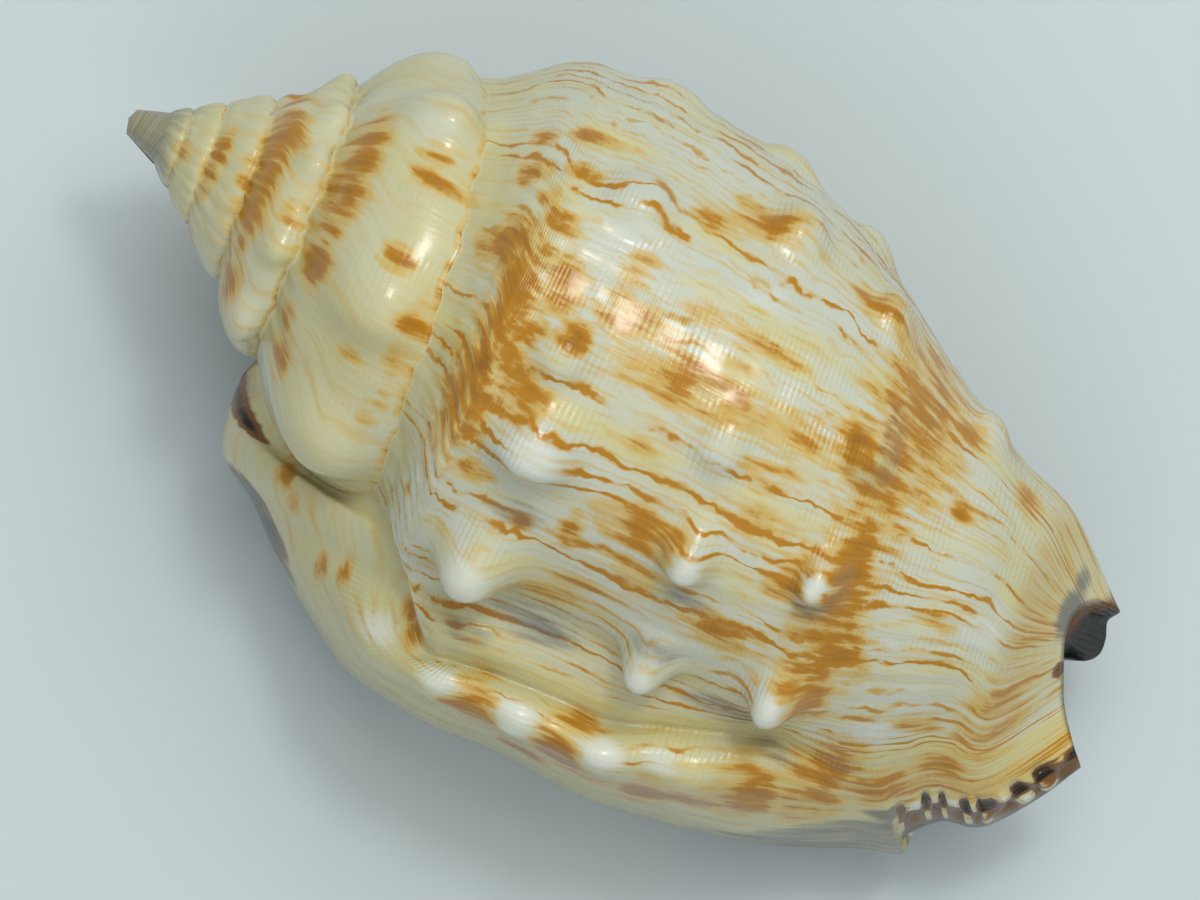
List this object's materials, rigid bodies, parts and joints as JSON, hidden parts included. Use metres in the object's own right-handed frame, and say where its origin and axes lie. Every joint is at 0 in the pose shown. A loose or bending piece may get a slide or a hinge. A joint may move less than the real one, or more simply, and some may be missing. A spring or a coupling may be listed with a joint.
{
  "type": "strombus pipus seashell",
  "caption": "Stout conch shell with a stepped spire, rows of blunt knobs, a thick flared lip with a grooved back, and a long open aperture.",
  "frame": {"origin": "centre of the bounding box in plan, at the flat spot of the belly that it rests on", "axes": "+X along the coiling axis towards the siphonal canal, apex towards -X; +Z towards the knobbed back; outer lip towards -Y, aperture facing down"},
  "size_m": [0.057, 0.0344, 0.0267],
  "materials": {
    "shell": "glossy natural shell, cream and bluish white with orange-brown bands, blotches and wavy lines"
  },
  "bodies": {
    "root": {"shell": "shell"}
  },
  "joints": []
}
